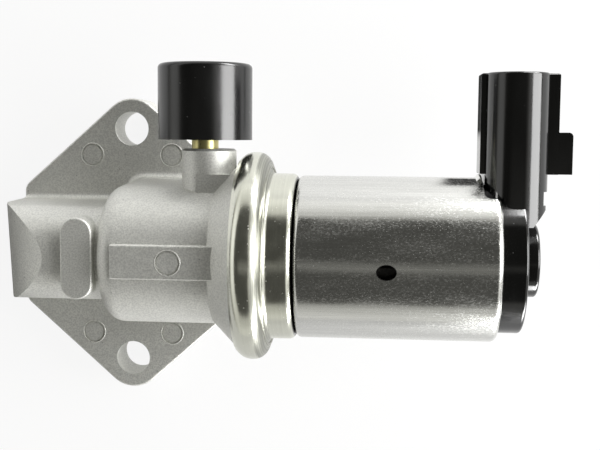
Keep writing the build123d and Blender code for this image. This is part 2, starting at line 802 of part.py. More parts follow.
# End moulding: plug in the can, end cap, nub and the tower of the plug socket
with BuildPart() as connector_housing:
    with BuildSketch(axial_plane):
        with BuildLine():
            FilletPolyline(
                (plug_start, 0),
                (plug_start, plug_radius),
                (crimp_face, plug_radius),
                (crimp_face, end_cap_radius),
                (end_cap_face, end_cap_radius),
                (end_cap_face, nub_radius),
                (end_cap_face + nub_length, nub_radius),
                (end_cap_face + nub_length, 0),
                radius=(0, 0, plug_edge, 0, end_cap_edge, 0, end_cap_edge, 0),
                close=True,
            )
        make_face()
    revolve(axis=valve_axis)
    with BuildSketch(level_plane(tower_foot)):
        with Locations((tower_x, 0)):
            SlotOverall(tower_depth, tower_width, rotation=90)
    extrude(amount=tower_top - tower_foot)

    # Key ribs on both flanks and the lug that the plug's latch catches
    key_start = tower_x - tower_width / 2 - inner_key_rise
    key_end = tower_x + tower_width / 2 + outer_key_rise
    with BuildSketch(level_plane(key_bottom)):
        with Locations(((key_start + key_end) / 2, 0)):
            Rectangle(key_end - key_start, key_width)
    extrude(amount=tower_top - key_bottom)
    with BuildSketch(Plane.XY.offset(axis_height)):
        with BuildLine():
            FilletPolyline(
                (tower_x, key_bottom),
                (key_end + lock_lug_rise, key_bottom),
                (key_end + lock_lug_rise, key_bottom + lock_lug_height),
                (tower_x, key_bottom + lock_lug_height),
                radius=(0, 0, lug_corner_radius, 0),
                close=True,
            )
        make_face()
    extrude(amount=lock_lug_width / 2, both=True)
    fillet(connector_housing.faces().sort_by(Axis.Y)[-1].edges(), tower_edge)

    # Undercut and groove on the outer side of the tower's neck
    tower_side = tower_x + tower_width / 2
    with BuildSketch(Plane.XY.offset(axis_height)):
        with BuildLine():
            Polyline(
                (tower_side - undercut_reach, tower_foot),
                (tower_side - neck_skirt_setback, tower_foot + undercut_height),
                (tower_side - neck_skirt_setback, neck_groove_bottom),
                (tower_side, neck_groove_bottom),
                (tower_side, tower_foot),
                close=True,
            )
        make_face()
        with Locations((tower_side - neck_groove_depth / 2, neck_groove_bottom + neck_groove_height / 2)):
            Rectangle(neck_groove_depth, neck_groove_height)
    extrude(amount=tower_depth / 2, both=True, mode=Mode.SUBTRACT)

    # Root that joins the tower's neck to the nub
    root_end = tower_side - undercut_reach
    with BuildSketch(level_plane(tower_foot - tower_root_sink)):
        with Locations(((tower_x + root_end) / 2, 0)):
            Rectangle(root_end - tower_x, tower_root_width)
    extrude(amount=2 * tower_root_sink)

    # Socket, with the terminals moulded in
    with BuildSketch(level_plane(socket_floor)):
        with Locations((tower_x, 0)):
            SlotOverall(tower_depth - 2 * tower_wall, tower_width - 2 * tower_wall, rotation=90)
    extrude(amount=socket_depth, mode=Mode.SUBTRACT)
    add(terminal_front.part, mode=Mode.SUBTRACT)
    add(terminal_rear.part, mode=Mode.SUBTRACT)

pieces = {
    "valve_body": valve_body,
    "body_seal": body_seal,
    "crimp_cup": crimp_cup,
    "solenoid_can": solenoid_can,
    "front_pole": front_pole,
    "guide_tube": guide_tube,
    "bobbin": bobbin,
    "coil_winding": coil_winding,
    "coil_wrap": coil_wrap,
    "rear_core": rear_core,
    "adjuster_screw": adjuster_screw,
    "return_spring": return_spring,
    "armature": armature,
    "valve_rod": valve_rod,
    "poppet": poppet,
    "poppet_clip": poppet_clip,
    "front_bush": front_bush,
    "guide_plate": guide_plate,
    "vent_tube": vent_tube,
    "vent_cap": vent_cap,
    "vent_filter": vent_filter,
    "terminal_front": terminal_front,
    "terminal_rear": terminal_rear,
    "connector_housing": connector_housing,
}
os.makedirs("parts", exist_ok=True)
for name, piece in pieces.items():
    piece.part.label = name
    export_step(piece.part, f"parts/{name}.step")
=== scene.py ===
from math import pi, radians

import bmesh
import bpy
from mathutils import Matrix, Vector


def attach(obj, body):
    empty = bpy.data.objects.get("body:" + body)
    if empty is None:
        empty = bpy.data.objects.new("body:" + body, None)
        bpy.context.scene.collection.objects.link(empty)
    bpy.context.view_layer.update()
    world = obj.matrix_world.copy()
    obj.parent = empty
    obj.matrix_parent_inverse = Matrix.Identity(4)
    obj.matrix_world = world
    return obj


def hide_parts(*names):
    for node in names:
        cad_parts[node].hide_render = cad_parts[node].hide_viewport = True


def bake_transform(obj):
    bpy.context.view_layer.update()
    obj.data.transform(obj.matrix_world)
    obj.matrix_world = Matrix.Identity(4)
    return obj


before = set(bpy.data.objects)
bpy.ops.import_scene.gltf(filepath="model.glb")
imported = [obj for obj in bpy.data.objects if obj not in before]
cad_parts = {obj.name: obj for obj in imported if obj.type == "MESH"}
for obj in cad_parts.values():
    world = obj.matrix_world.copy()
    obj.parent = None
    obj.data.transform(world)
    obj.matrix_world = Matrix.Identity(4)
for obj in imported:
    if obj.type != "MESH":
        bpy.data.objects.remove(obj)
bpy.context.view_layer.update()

bl_info = {
    "name": "Bypass Valve Looks",
    "version": (1, 0, 0),
    "blender": (4, 5, 0),
    "location": "View3D > Sidebar > Bypass Valve",
    "description": "Finishes the pieces of an idle air bypass valve and sets its studio",
    "category": "Object",
}

HOUSING = "housing"

MM = 0.001
MICRON = 0.000001
AXIS_HEIGHT = 22.4  # of the valve axis over the mounting face, in millimetres
SHARP_ANGLE = radians(35)  # edges that turn more than this are shaded sharp

# Most values of a noise lie between these two.
NOISE_LOW, NOISE_HIGH = 0.3, 0.7

# Section of the flash round a pin mark: widths outwards and heights upwards from its foot.
FLASH_SECTION = ((0, 0), (0, 1.7), (0.4, 2), (1, 1.4), (1, 0))
FLASH_STEPS = 48
MERGE_DISTANCE = 0.0001 * MM

NOTCH_STEPS = 20
NOTCH_FLAT = 0.35  # share of the turned up edge that is flat on top
NOTCH_BEVEL = 0.12 * MM
NOTCH_CORNER = 0.5  # edges that turn more than this, in radians, are bevelled

WIRE_SIDES = 14
STEPS_PER_TURN = 40

# Painted shade: near black for the hole in the can and for the seam between cup and can.
HOLE_AND_SEAM_SHADE = (0.004, 0.004, 0.004)
SEAM_SHADE = (0.01, 0.01, 0.01)

SENSOR_WIDTH = 36
FLOOR_HALF = 1.5
FLOOR_DROP = 0.5 * MM  # of the floor under the mounting face
FLOOR_WHITE = (0.92, 0.92, 0.91)
# Colour of the painted shadows on the floor, for mirrored light.
FLOOR_PAINTED_SHADE = (0.04, 0.04, 0.04)
FLOOR_GLOW = 0.88  # share of plain white in the floor that the camera sees

# Painted shadows: areas of the floor painted dark for mirrored light only, beside the nose and
# beside the socket: the middle, half the size and the reach of the soft edge, in metres.
FLOOR_SHADOWS = (
    ((-0.100, -0.020), (0.078, 0.040), 0.006),
    ((0.0690, 0.036), (0.0046, 0.013), 0.0012),
)


def colour_setting(name, description, default):
    """A colour that the user may change."""
    return bpy.props.FloatVectorProperty(
        name=name, description=description, subtype="COLOR", size=3, min=0, max=1,
        default=default)


def gloss_setting(name, description, default):
    """A roughness that the user may change."""
    return bpy.props.FloatProperty(
        name=name, description=description, subtype="FACTOR", min=0, max=1, default=default)


def size_setting(name, description, default):
    """A length in metres that the user may change."""
    return bpy.props.FloatProperty(
        name=name, description=description, subtype="DISTANCE", unit="LENGTH", min=0,
        default=default)


def power_setting(name, description, default):
    """A lamp's power in watts that the user may change."""
    return bpy.props.FloatProperty(
        name=name, description=description, unit="POWER", min=0, default=default)


class CastingSettings(bpy.types.PropertyGroup):
    """Finish of the die cast body."""

    colour: colour_setting("Colour", "Colour of the cast aluminium", (0.88, 0.88, 0.84))
    roughness: gloss_setting("Roughness", "Gloss of the blasted skin", 0.52)
    grain: size_setting("Grain", "Width of one grain of the blasted skin", 0.00030)
    grain_depth: size_setting("Grain depth", "Depth of the blasted skin", 0.000010)
    milled_roughness: gloss_setting("Milled roughness", "Gloss of the milled mounting face", 0.28)


class SteelSettings(bpy.types.PropertyGroup):
    """Finish of the zinc plated cup and can."""

    colour: colour_setting("Colour", "Colour of the can's zinc plate", (0.80, 0.80, 0.775))
    cup_colour: colour_setting("Cup colour", "Colour of the cup's zinc plate", (0.80, 0.805, 0.71))
    roughness: gloss_setting("Roughness", "Gloss of the plate", 0.17)
    speck: size_setting("Speck", "Distance between the specks in the plate", 0.00045)
    scratch: size_setting("Scratch", "Width of a drawing scratch", 0.00012)
    seam: size_setting("Seam", "Station at which the cup meets the can", 0.0359)
    rolled_start: size_setting(
        "Rolled start", "Station at which the duller rolled band of the cup begins", 0.0289)
    rolled_end: size_setting("Rolled end", "Station at which the rolled band ends", 0.0314)


class MouldingSettings(bpy.types.PropertyGroup):
    """Finish of the plastic mouldings."""

    black: colour_setting(
        "Black", "Colour of the end moulding and the vent cap", (0.0022, 0.0022, 0.0022))
    roughness: gloss_setting("Roughness", "Gloss of the end moulding", 0.13)
    cap_roughness: gloss_setting("Cap roughness", "Gloss of the vent cap", 0.20)
    poppet: colour_setting("Poppet", "Colour of the poppet", (0.045, 0.042, 0.040))
    bobbin: colour_setting("Bobbin", "Colour of the coil former", (0.62, 0.57, 0.44))


class InnerSettings(bpy.types.PropertyGroup):
    """Finishes of the vent, the stem and the coil."""

    brass: colour_setting("Brass", "Colour of drawn and turned brass", (0.63, 0.57, 0.26))
    tin: colour_setting("Tin", "Colour of the tinned terminals", (0.78, 0.77, 0.74))
    steel: colour_setting("Steel", "Colour of turned steel", (0.56, 0.55, 0.53))
    aluminium: colour_setting("Aluminium", "Colour of the guide plate", (0.72, 0.72, 0.70))
    copper: colour_setting("Copper", "Colour of the enamelled wire", (0.62, 0.24, 0.11))
    tape: colour_setting("Tape", "Colour of the coil's wrap", (0.018, 0.016, 0.013))
    rubber: colour_setting("Rubber", "Colour of the seal", (0.022, 0.022, 0.023))
    foam: colour_setting("Foam", "Colour of the filter foam", (0.10, 0.10, 0.105))


class RingSettings(bpy.types.PropertyGroup):
    """Thin flash round the pin marks of the casting."""

    radius: size_setting("Radius", "Inner radius of a ring", 0.00222)
    width: size_setting("Width", "Width of the flash", 0.00022)
    height: size_setting("Height", "Height of the flash", 0.00010)
    flange_x: size_setting(
        "Flange x", "How far the flange's marks are from its middle along x", 0.0083)
    flange_y: size_setting(
        "Flange y", "How far the flange's marks are from its middle along y", 0.0186)
    flange_height: size_setting("Flange height", "Height of the flange's upper face", 0.0080)
    crown_x: size_setting("Crown x", "Where the mark on the upper pad is along x", 0.0135)
    crown_height: size_setting("Crown height", "Height of the upper pad", 0.0365)


class HoleShadeSettings(bpy.types.PropertyGroup):
    """Painted shade over the hole punched in the can."""

    station: size_setting("Station", "Where the hole's middle is along the valve axis", 0.0527)
    side: bpy.props.FloatProperty(
        name="Side", description="Where the hole's middle is beside the valve axis",
        subtype="DISTANCE", unit="LENGTH", default=-0.0008)
    length: size_setting("Length", "Size of the hole along the valve axis", 0.0036)
    width: size_setting("Width", "Size of the hole across the valve axis", 0.0028)


class NotchSettings(bpy.types.PropertyGroup):
    """Turned up edge of the notch in the can."""

    start: size_setting("Start", "Station at which the edge begins to rise", 0.0688)
    length: size_setting("Length", "How far along the can the edge is turned up", 0.0011)
    radius: size_setting("Radius", "Radius of the can under the edge", 0.0153)
    rise: size_setting("Rise", "How far the edge stands up", 0.00075)
    half_width: bpy.props.FloatProperty(
        name="Half width", description="Half the angle that the edge runs round the can",
        subtype="ANGLE", unit="ROTATION", default=radians(15))


class SpringSettings(bpy.types.PropertyGroup):
    """Return spring between the armature and the core."""

    start: size_setting("Start", "Station of the wire's middle at the armature", 0.0498)
    end: size_setting("End", "Station of the wire's middle at the adjuster", 0.0615)
    radius: size_setting("Radius", "Radius of the wire's middle from the valve axis", 0.0031)
    wire_radius: size_setting("Wire radius", "Radius of the wire", 0.00035)
    turns: bpy.props.IntProperty(name="Turns", description="Number of turns", min=1, default=6)


class StudioSettings(bpy.types.PropertyGroup):
    """Camera and lamps."""

    camera_place: bpy.props.FloatVectorProperty(
        name="Camera place", description="Where the camera stands", subtype="TRANSLATION",
        unit="LENGTH", size=3, default=(0.05221, 0.02380, 0.21320))
    camera_turn: bpy.props.FloatVectorProperty(
        name="Camera turn", description="How the camera is turned from looking straight down",
        subtype="EULER", size=3, default=(radians(-5.290), radians(4.847), radians(0.481)))
    lens: bpy.props.FloatProperty(
        name="Lens", description="Focal length on a 36 mm wide sensor",
        min=10, max=300, default=60.484)
    window_power: power_setting(
        "Window power", "Power of the soft light on the plug's side", 5.9)
    bounce_power: power_setting(
        "Bounce power", "Power of each low light beside the plug's end", 0.26)


def on_axis(station):
    """Point of the valve axis at a station in metres."""
    return Vector((station, 0, AXIS_HEIGHT * MM))


def shader_of(material):
    """The material's own principled shader."""
    return material.node_tree.nodes["Principled BSDF"]


def new_material(name, colour, metallic, roughness):
    """A principled material with plain values, for its own function to add detail to."""
    material = bpy.data.materials.new(name)
    material.use_nodes = True
    shader = shader_of(material)
    shader.inputs["Base Color"].default_value = (*colour, 1)
    shader.inputs["Metallic"].default_value = metallic
    shader.inputs["Roughness"].default_value = roughness
    return material


def add_node(owner, kind, inputs=(), **settings):
    """A new node with its settings and inputs; an input given as a socket is linked."""
    tree = owner.node_tree
    node = tree.nodes.new("ShaderNode" + kind)
    for key, value in settings.items():
        setattr(node, key, value)
    for key, value in dict(inputs).items():
        if isinstance(value, bpy.types.NodeSocket):
            tree.links.new(value, node.inputs[key])
        else:
            node.inputs[key].default_value = value
    return node


def place_mm(material, stretch=(1, 1, 1)):
    """Object coordinates in millimetres, shrunk along the way that a pattern runs."""
    coords = add_node(material, "TexCoord").outputs["Object"]
    scale = [share / MM for share in stretch]
    return add_node(material, "Mapping", {"Vector": coords, "Scale": scale}).outputs[0]


def axes_of(owner, place):
    """The three numbers of a place."""
    return add_node(owner, "SeparateXYZ", {0: place}).outputs


def length_of(material, arm):
    """Length of a vector."""
    return add_node(material, "VectorMath", {0: arm}, operation="LENGTH").outputs["Value"]


def turned_mm(material):
    """Station along the valve axis and radius from it in millimetres, for a lathe's rings."""
    coords = add_node(material, "TexCoord").outputs["Object"]
    moved = add_node(material, "Mapping", {
        "Vector": coords, "Location": (0, 0, -AXIS_HEIGHT),
        "Scale": (1 / MM, 1 / MM, 1 / MM)}).outputs[0]
    x, y, z = axes_of(material, moved)
    arm = add_node(material, "CombineXYZ", {"Y": y, "Z": z}).outputs[0]
    radius = length_of(material, arm)
    return add_node(material, "CombineXYZ", {"X": x, "Y": radius}).outputs[0]


def noise(material, place, width, detail=3.0):
    """Soft noise from 0 to 1, its blotches about the given width in millimetres."""
    return add_node(material, "TexNoise", {
        "Vector": place, "Scale": 1 / width, "Detail": detail}).outputs[0]


def spread(owner, value, low, high, to_low, to_high):
    """The value moved from one range to another, and held inside it."""
    return add_node(owner, "MapRange", {
        "Value": value, "From Min": low, "From Max": high,
        "To Min": to_low, "To Max": to_high}).outputs[0]


def mask(owner, value, none, full):
    """Mask that grows from 0 to 1 as the value goes from none to full."""
    return spread(owner, value, none, full, 0, 1)


def combine(owner, operation, first, *others):
    """Numbers put together one after the other."""
    for other in others:
        node = add_node(owner, "Math", {0: first, 1: other}, operation=operation)
        first = node.outputs[0]
    return first


def product(owner, *values):
    """Numbers multiplied."""
    return combine(owner, "MULTIPLY", *values)


def total(owner, *values):
    """Numbers added up."""
    return combine(owner, "ADD", *values)


def largest(owner, *values):
    """The largest of some numbers."""
    return combine(owner, "MAXIMUM", *values)


def distance(owner, value, centre):
    """How far a number is from a fixed one."""
    gap = combine(owner, "SUBTRACT", value, centre)
    return add_node(owner, "Math", {0: gap}, operation="ABSOLUTE").outputs[0]


def tint(owner, factor, first, second):
    """Colour that runs from the first to the second as the factor goes from 0 to 1."""
    node = add_node(owner, "Mix", {0: factor}, data_type="RGBA")
    for socket, colour in ((node.inputs[6], first), (node.inputs[7], second)):
        if isinstance(colour, bpy.types.NodeSocket):
            owner.node_tree.links.new(colour, socket)
        else:
            socket.default_value = (*colour, 1)
    return node.outputs[2]


def shade(colour, share):
    """The colour made darker or lighter."""
    return tuple(min(1, part * share) for part in colour)


def tones(material, factor, colour, low, high):
    """The colour between two of its shades, as the factor goes from 0 to 1."""
    return tint(material, factor, shade(colour, low), shade(colour, high))


def uneven_gloss(material, pattern, roughness, below, above):
    """Roughness that follows a noise, from below its plain value to above it."""
    return spread(
        material, pattern, NOISE_LOW, NOISE_HIGH, roughness - below, roughness + above)


def feed(material, socket, value):
    """Link a varying value to the shader."""
    material.node_tree.links.new(value, shader_of(material).inputs[socket])


def emboss(material, height, depth):
    """Bump of the given depth in metres, over what the shader has already."""
    normal = shader_of(material).inputs["Normal"]
    bump = add_node(material, "Bump", {"Height": height, "Distance": depth, "Strength": 1.0})
    if normal.is_linked:
        material.node_tree.links.new(normal.links[0].from_socket, bump.inputs["Normal"])
    material.node_tree.links.new(bump.outputs[0], normal)


def specks(material, place, spacing, size, chance):
    """Mask of small round specks, one in each cell that chance picks."""
    cells = add_node(material, "TexVoronoi", {"Vector": place, "Scale": 1 / spacing})
    near = mask(material, cells.outputs["Distance"], size, size * 0.5)
    pick = add_node(material, "SeparateColor", {0: cells.outputs["Color"]}).outputs[0]
    picked = mask(material, pick, 1 - chance, 1 - chance + 0.05)
    return product(material, near, picked)


def cast_aluminium():
    """Blasted die casting, with a milled mounting face."""
    settings = bpy.context.scene.bypass_casting
    colour, roughness = settings.colour, settings.roughness
    material = new_material("cast_aluminium", colour, metallic=0.75, roughness=roughness)
    place = place_mm(material)
    grain = noise(material, place, settings.grain / MM, detail=2.0)
    blotch = noise(material, place, 9.0, detail=2.0)
    flow = noise(material, place_mm(material, stretch=(0.35, 1, 1)), 2.2, detail=4.0)
    patch = mask(material, total(material, blotch, flow), 0.7, 1.3)
    base = tones(material, patch, colour, 0.95, 1.04)
    fleck = mask(material, grain, 0.36, 0.62)
    base = tint(material, fleck, shade(colour, 0.80), base)
    pits = specks(material, place, spacing=1.3, size=0.14, chance=0.22)
    base = tint(material, pits, base, shade(colour, 0.58))

    # The cutter's arcs show on the mounting face only, where the skin is milled away.
    milled = mask(material, axes_of(material, place)[2], 0.08, 0.03)
    from_cutter = add_node(material, "Mapping", {
        "Vector": place, "Location": (0, 90, 0)}).outputs[0]
    arcs = add_node(
        material, "TexWave",
        {"Vector": from_cutter, "Scale": 0.9, "Distortion": 0.6, "Detail": 2.0},
        wave_type="RINGS", rings_direction="Z").outputs["Fac"]
    feed(material, "Base Color", tint(material, milled, base, shade(colour, 1.06)))
    skin = uneven_gloss(material, grain, roughness, 0.05, 0.06)
    face_roughness = settings.milled_roughness
    face = spread(material, arcs, 0, 1, face_roughness - 0.05, face_roughness + 0.06)
    rough = add_node(material, "Mix", {0: milled, 2: skin, 3: face}).outputs[0]
    feed(material, "Roughness", rough)
    kept = spread(material, milled, 0, 1, 1, 0.08)
    emboss(material, product(material, grain, kept), settings.grain_depth)
    emboss(material, product(material, arcs, milled), 4 * MICRON)
    emboss(material, flow, 30 * MICRON)
    return material


def seam_shade_mask(material, station):
    """Mask of the painted shade in the seam between cup and can."""
    seam = bpy.context.scene.bypass_steel.seam / MM
    return mask(material, distance(material, station, seam), 0.34, 0.12)


def hole_shade_mask(material, place):
    """Mask of the painted shade over the hole punched in the can's upper side."""
    hole = bpy.context.scene.bypass_hole
    half_length, half_width = hole.length / MM / 2, hole.width / MM / 2
    around = add_node(material, "Mapping", {
        "Vector": place, "Scale": (1 / half_length, 1 / half_width, 0),
        "Location": (-hole.station / MM / half_length, -hole.side / MM / half_width, 0),
    }).outputs[0]
    inside = mask(material, length_of(material, around), 1.04, 0.96)
    above = mask(material, axes_of(material, place)[2], AXIS_HEIGHT, AXIS_HEIGHT + 1)
    return product(material, inside, above)


def drawn_steel():
    """Zinc plated can, scratched along its length by the drawing tool."""
    settings = bpy.context.scene.bypass_steel
    colour, roughness = settings.colour, settings.roughness
    material = new_material("drawn_steel", colour, metallic=1.0, roughness=roughness)
    place = place_mm(material)
    station = axes_of(material, place)[0]
    along = place_mm(material, stretch=(0.02, 1, 1))
    lines = noise(material, along, 2.5 * settings.scratch / MM)
    cloud = noise(material, place_mm(material, stretch=(0.25, 1, 1)), 3.0, detail=4.0)
    fine = noise(material, place_mm(material, stretch=(0.5, 1, 1)), 0.22, detail=2.0)
    rub = noise(material, place_mm(material, stretch=(0.12, 1, 1)), 0.35, detail=2.0)
    scuff = product(
        material, mask(material, rub, 0.66, 0.74), mask(material, cloud, 0.48, 0.60))
    fleck = specks(material, place, spacing=settings.speck / MM, size=0.17, chance=0.75)

    base = tones(material, lines, colour, 0.80, 1.10)
    # Painted shade: the hole and the seam between cup and can are painted near black.
    dark = largest(material, hole_shade_mask(material, place), seam_shade_mask(material, station))
    feed(material, "Base Color", tint(material, dark, base, HOLE_AND_SEAM_SHADE))
    feed(material, "Roughness", total(
        material, uneven_gloss(material, cloud, roughness, 0.05, 0.06),
        product(material, fleck, 0.28), product(material, scuff, 0.18),
        spread(material, fine, 0.45, 0.70, 0.0, 0.14)))
    emboss(material, lines, 3.0 * MICRON)
    emboss(material, fine, 2.8 * MICRON)
    emboss(material, cloud, 20 * MICRON)
    return material


def pressed_steel():
    """Zinc plated cup, with the rings of its rolling tools."""
    settings = bpy.context.scene.bypass_steel
    colour, roughness = settings.cup_colour, settings.roughness
    material = new_material("pressed_steel", colour, metallic=1.0, roughness=roughness)
    place = place_mm(material)
    turned = turned_mm(material)
    station = axes_of(material, turned)[0]
    rings = noise(material, turned, 3.0 * settings.scratch / MM, detail=2.0)
    lines = noise(material, turned, 1.6 * settings.scratch / MM, detail=1.0)
    cloud = noise(material, place, 2.5)
    fleck = specks(material, place, spacing=1.6 * settings.speck / MM, size=0.16, chance=0.4)
    start, end = settings.rolled_start / MM, settings.rolled_end / MM
    rolled = product(
        material, mask(material, station, start, start + 0.25),
        mask(material, station, end, end - 0.25))

    base = tones(material, rings, colour, 0.88, 1.05)
    base = tint(material, fleck, base, shade(colour, 1.12))
    # Rolled band painted darker: partly rolling marks, partly painted shade.
    rolled_marks_and_shade = tones(material, mask(material, lines, 0.35, 0.65), colour, 0.26, 0.55)
    base = tint(material, rolled, base, rolled_marks_and_shade)
    # Painted shade: the seam between cup and can is painted near black.
    seam_shade_factor = seam_shade_mask(material, station)
    feed(material, "Base Color", tint(material, seam_shade_factor, base, SEAM_SHADE))
    feed(material, "Roughness", total(
        material, uneven_gloss(material, cloud, roughness, 0.03, 0.07),
        product(material, rolled, 0.16), product(material, fleck, 0.35)))
    emboss(material, rings, 3 * MICRON)
    emboss(material, product(material, lines, rolled), 10 * MICRON)
    emboss(material, cloud, 18 * MICRON)
    return material


def moulded_plastic(name, colour, roughness, specular):
    """Moulded plastic with faint flow and dust."""
    material = new_material(name, colour, metallic=0.0, roughness=roughness)
    shader_of(material).inputs["Specular IOR Level"].default_value = specular
    place = place_mm(material)
    flow = noise(material, place_mm(material, stretch=(1, 0.3, 1)), 4.0)
    fine = noise(material, place, 0.16, detail=2.0)
    dust = specks(material, place, spacing=1.5, size=0.09, chance=0.25)
    base = tones(material, flow, colour, 0.75, 1.3)
    pale = tuple(part * 0.7 + 0.10 for part in colour)
    feed(material, "Base Color", tint(material, dust, base, pale))
    feed(material, "Roughness", total(
        material, uneven_gloss(material, flow, roughness, 0.04, 0.06),
        product(material, dust, 0.3)))
    emboss(material, fine, 1.2 * MICRON)
    emboss(material, flow, 20 * MICRON)
    return material


def stained(material, base, width, strength, dark):
    """The base colour with soft stains, and the noise that the stains follow."""
    stain = noise(material, place_mm(material), width)
    return tint(material, spread(material, stain, 0.5, 0.75, 0, strength), base, dark), stain


def turned_metal(name, colour, roughness):
    """Metal with the fine rings of a lathe about the valve axis."""
    material = new_material(name, colour, metallic=1.0, roughness=roughness)
    rings = noise(material, turned_mm(material), 0.12, detail=2.0)
    base = tones(material, rings, colour, 0.82, 1.08)
    base, _ = stained(material, base, width=3.0, strength=0.6, dark=shade(colour, 0.7))
    feed(material, "Base Color", base)
    feed(material, "Roughness", uneven_gloss(material, rings, roughness, 0.06, 0.08))
    emboss(material, rings, 4 * MICRON)
    return material


def drawn_metal(name, colour, roughness, stretch):
    """Metal with fine lines along the way it was drawn or rolled."""
    material = new_material(name, colour, metallic=1.0, roughness=roughness)
    lines = noise(material, place_mm(material, stretch), 0.20)
    base = tones(material, lines, colour, 0.84, 1.08)
    base, stain = stained(material, base, width=2.0, strength=0.5, dark=shade(colour, 0.72))
    feed(material, "Base Color", base)
    feed(material, "Roughness", uneven_gloss(material, stain, roughness, 0.05, 0.08))
    emboss(material, lines, 3 * MICRON)
    return material


def wound_copper():
    """Enamelled wire in close turns about the valve axis."""
    colour = bpy.context.scene.bypass_inner.copper
    material = new_material("wound_copper", colour, metallic=1.0, roughness=0.28)
    station = axes_of(material, place_mm(material))[0]
    # 14 radians to the millimetre is a wire of 0.45 mm.
    phase = product(material, station, 14.0)
    wave = add_node(material, "Math", {0: phase}, operation="SINE").outputs[0]
    crest = mask(material, wave, -1, 1)
    # Painted shade: the troughs between the turns are darker.
    feed(material, "Base Color", tones(material, crest, colour, 0.35, 1.1))
    feed(material, "Roughness", spread(material, crest, 0, 1, 0.5, 0.24))
    emboss(material, crest, 0.12 * MM)
    return material


def soft_matter(name, colour, width, depth, roughness):
    """Matt matter with a grain: the seal's rubber, the wrap's weave or the filter's foam."""
    material = new_material(name, colour, metallic=0.0, roughness=roughness)
    grain = noise(material, place_mm(material), width, detail=4.0)
    crest = mask(material, grain, 0.38, 0.62)
    feed(material, "Base Color", tones(material, crest, colour, 0.45, 1.35))
    feed(material, "Roughness", uneven_gloss(material, grain, roughness, 0.1, 0.1))
    emboss(material, grain, depth)
    return material


def finish(material, *names):
    """Give CAD solids their material."""
    for name in names:
        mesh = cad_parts[name].data
        mesh.materials.clear()
        mesh.materials.append(material)


def add_piece(name, bm, material):
    """Make an object of a finished bmesh, smooth but for its sharp edges."""
    mesh = bpy.data.meshes.new(name)
    bm.to_mesh(mesh)
    bm.free()
    mesh.materials.append(material)
    mesh.shade_smooth()
    mesh.set_sharp_from_angle(angle=SHARP_ANGLE)
    piece = bpy.data.objects.new(name, mesh)
    bpy.context.scene.collection.objects.link(piece)
    return piece


class BYPASS_OT_casting(bpy.types.Operator):
    """Finish the cast valve body."""

    bl_idname = "bypass.casting"
    bl_label = "Casting"

    def execute(self, context):
        finish(cast_aluminium(), "valve_body")
        return {"FINISHED"}


class BYPASS_OT_pin_rings(bpy.types.Operator):
    """Raise the thin flash round the marks that the ejector pins left."""

    bl_idname = "bypass.pin_rings"
    bl_label = "Pin Rings"

    def execute(self, context):
        settings = context.scene.bypass_rings
        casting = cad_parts["valve_body"].data.materials[0]
        marks = [
            Vector((x, y, settings.flange_height))
            for x in (-settings.flange_x, settings.flange_x)
            for y in (-settings.flange_y, settings.flange_y)]
        marks.append(Vector((settings.crown_x, 0, settings.crown_height)))
        foot = Vector((settings.radius, 0, -settings.height))
        bm = bmesh.new()
        for mark in marks:
            rim = [
                bm.verts.new(mark + foot + Vector((out * settings.width, 0, up * settings.height)))
                for out, up in FLASH_SECTION]
            edges = [bm.edges.new(pair) for pair in zip(rim, rim[1:] + rim[:1])]
            bmesh.ops.spin(
                bm, geom=rim + edges, cent=mark, axis=(0, 0, 1), angle=2 * pi,
                steps=FLASH_STEPS, use_merge=True)
        bmesh.ops.remove_doubles(bm, verts=bm.verts, dist=MERGE_DISTANCE)
        bmesh.ops.recalc_face_normals(bm, faces=bm.faces)
        rings = add_piece("pin_rings", bm, casting)
        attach(rings, HOUSING)
        return {"FINISHED"}


class BYPASS_OT_sheet_steel(bpy.types.Operator):
    """Finish the crimped cup and the can, and turn up the edge of the can's notch."""

    bl_idname = "bypass.sheet_steel"
    bl_label = "Cup and Can"

    def execute(self, context):
        can = drawn_steel()
        finish(can, "solenoid_can")
        finish(pressed_steel(), "crimp_cup")

        notch = context.scene.bypass_notch
        axis = on_axis(0)
        end = notch.start + notch.length
        top = notch.radius + notch.rise
        section = (
            (notch.start, notch.radius), (end - NOTCH_FLAT * notch.length, top),
            (end, top), (end, notch.radius))
        bm = bmesh.new()
        bm.faces.new([
            bm.verts.new(axis + Vector((station, radius, 0))) for station, radius in section])
        turn = Matrix.Rotation(-notch.half_width, 3, "X")
        bmesh.ops.rotate(bm, verts=bm.verts, cent=axis, matrix=turn)
        bmesh.ops.spin(
            bm, geom=bm.faces[:] + bm.edges[:] + bm.verts[:], cent=axis, axis=(1, 0, 0),
            angle=2 * notch.half_width, steps=NOTCH_STEPS)
        bmesh.ops.recalc_face_normals(bm, faces=bm.faces)
        sharp = [
            edge for edge in bm.edges
            if len(edge.link_faces) == 2 and edge.calc_face_angle() > NOTCH_CORNER]
        bmesh.ops.bevel(
            bm, geom=sharp, offset=NOTCH_BEVEL, affect="EDGES", segments=2, profile=0.5,
            material=-1)
        lip = add_piece("notch_edge", bm, can)
        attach(lip, HOUSING)
        return {"FINISHED"}


class BYPASS_OT_mouldings(bpy.types.Operator):
    """Finish the end moulding with its plug socket, and the vent cap."""

    bl_idname = "bypass.mouldings"
    bl_label = "Black Mouldings"

    def execute(self, context):
        settings = context.scene.bypass_moulding
        socket = moulded_plastic(
            "socket_moulding", settings.black, settings.roughness, specular=0.75)
        cap = moulded_plastic(
            "cap_moulding", settings.black, settings.cap_roughness, specular=0.75)
        finish(socket, "connector_housing")
        finish(cap, "vent_cap")
        return {"FINISHED"}


class BYPASS_OT_vent(bpy.types.Operator):
    """Finish the vent tube and the foam in its cap."""

    bl_idname = "bypass.vent"
    bl_label = "Vent"

    def execute(self, context):
        settings = context.scene.bypass_inner
        tube = drawn_metal("drawn_brass", settings.brass, roughness=0.32, stretch=(1, 0.03, 1))
        foam = soft_matter(
            "filter_foam", settings.foam, width=0.55, depth=0.35 * MM, roughness=0.9)
        finish(tube, "vent_tube")
        finish(foam, "vent_filter")
        return {"FINISHED"}


